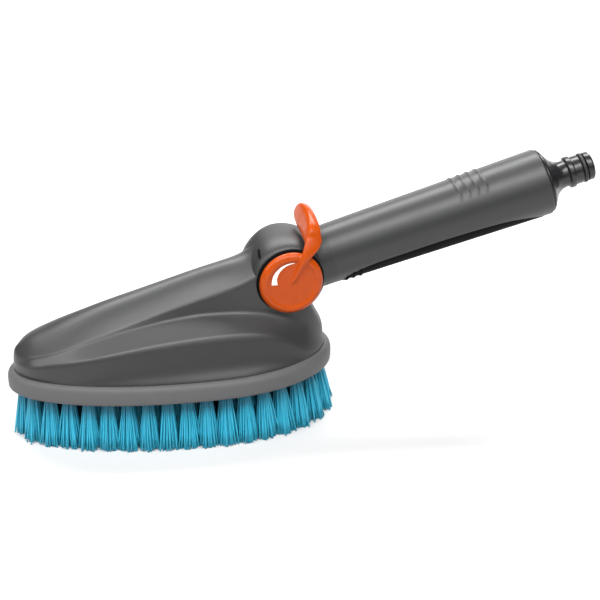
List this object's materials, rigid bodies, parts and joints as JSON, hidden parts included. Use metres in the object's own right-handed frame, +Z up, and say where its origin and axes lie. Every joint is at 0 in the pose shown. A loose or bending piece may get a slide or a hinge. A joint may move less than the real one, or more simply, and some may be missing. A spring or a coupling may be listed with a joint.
{
  "type": "water-fed wheel brush",
  "caption": "Hand-held water-fed wash brush: egg-shaped bristle head with a soft bumper, thumb-lever water valve and a tapered handle that ends in a push-on hose nipple.",
  "frame": {"origin": "middle of the brush's footprint box, on the plane that the bristle tips stand on", "axes": "+X from the head's nose back towards the handle and hose nipple, +Z up from the bristle tips, -Y on the dial and lever's side"},
  "size_m": [0.3274, 0.086, 0.1359],
  "materials": {
    "shell_grey": "moulded, fine satin",
    "housing_grey": "moulded, fine satin",
    "handle_grey": "moulded, fine satin",
    "bumper_grey": "soft, matt",
    "plate_black": "moulded, matt",
    "bristle_blue": "nylon filament",
    "lever_orange": "moulded, satin",
    "mark_white": "printed",
    "grip_black": "soft, matt",
    "nipple_black": "moulded, semi-gloss",
    "inner_natural": "natural polymer",
    "seal_rubber": "nitrile",
    "steel": "stainless"
  },
  "bodies": {
    "brush": {"head_shell": "shell_grey", "bumper_ring": "bumper_grey", "bristle_plate": "plate_black", "plate_gasket": "seal_rubber", "plate_screws": "steel", "spray_rose": "inner_natural", "rose_oring": "seal_rubber", "water_duct": "inner_natural", "duct_oring": "seal_rubber", "valve_housing": "housing_grey", "housing_screws": "steel", "far_cap": "housing_grey", "valve_body": "inner_natural", "thrust_washer": "inner_natural", "handle_shell": "handle_grey", "grip_strip": "grip_black", "inner_tube": "inner_natural", "tube_orings": "seal_rubber", "hose_nipple": "nipple_black", "nipple_oring": "seal_rubber", "inlet_strainer": "steel", "tufts_row_1": "bristle_blue", "tufts_row_2": "bristle_blue", "tufts_row_3": "bristle_blue", "tufts_row_4": "bristle_blue"},
    "lever": {"dial_lever": "lever_orange", "flow_mark": "mark_white", "valve_plug": "inner_natural", "plug_orings": "seal_rubber", "retaining_clip": "steel"}
  },
  "joints": [
    {"name": "lever_turn", "type": "hinge", "parent": "brush", "child": "lever", "pos_m": [-0.0125, 0, 0.0809], "axis": [0, 1, 0], "range_deg": [-62, 0]}
  ]
}
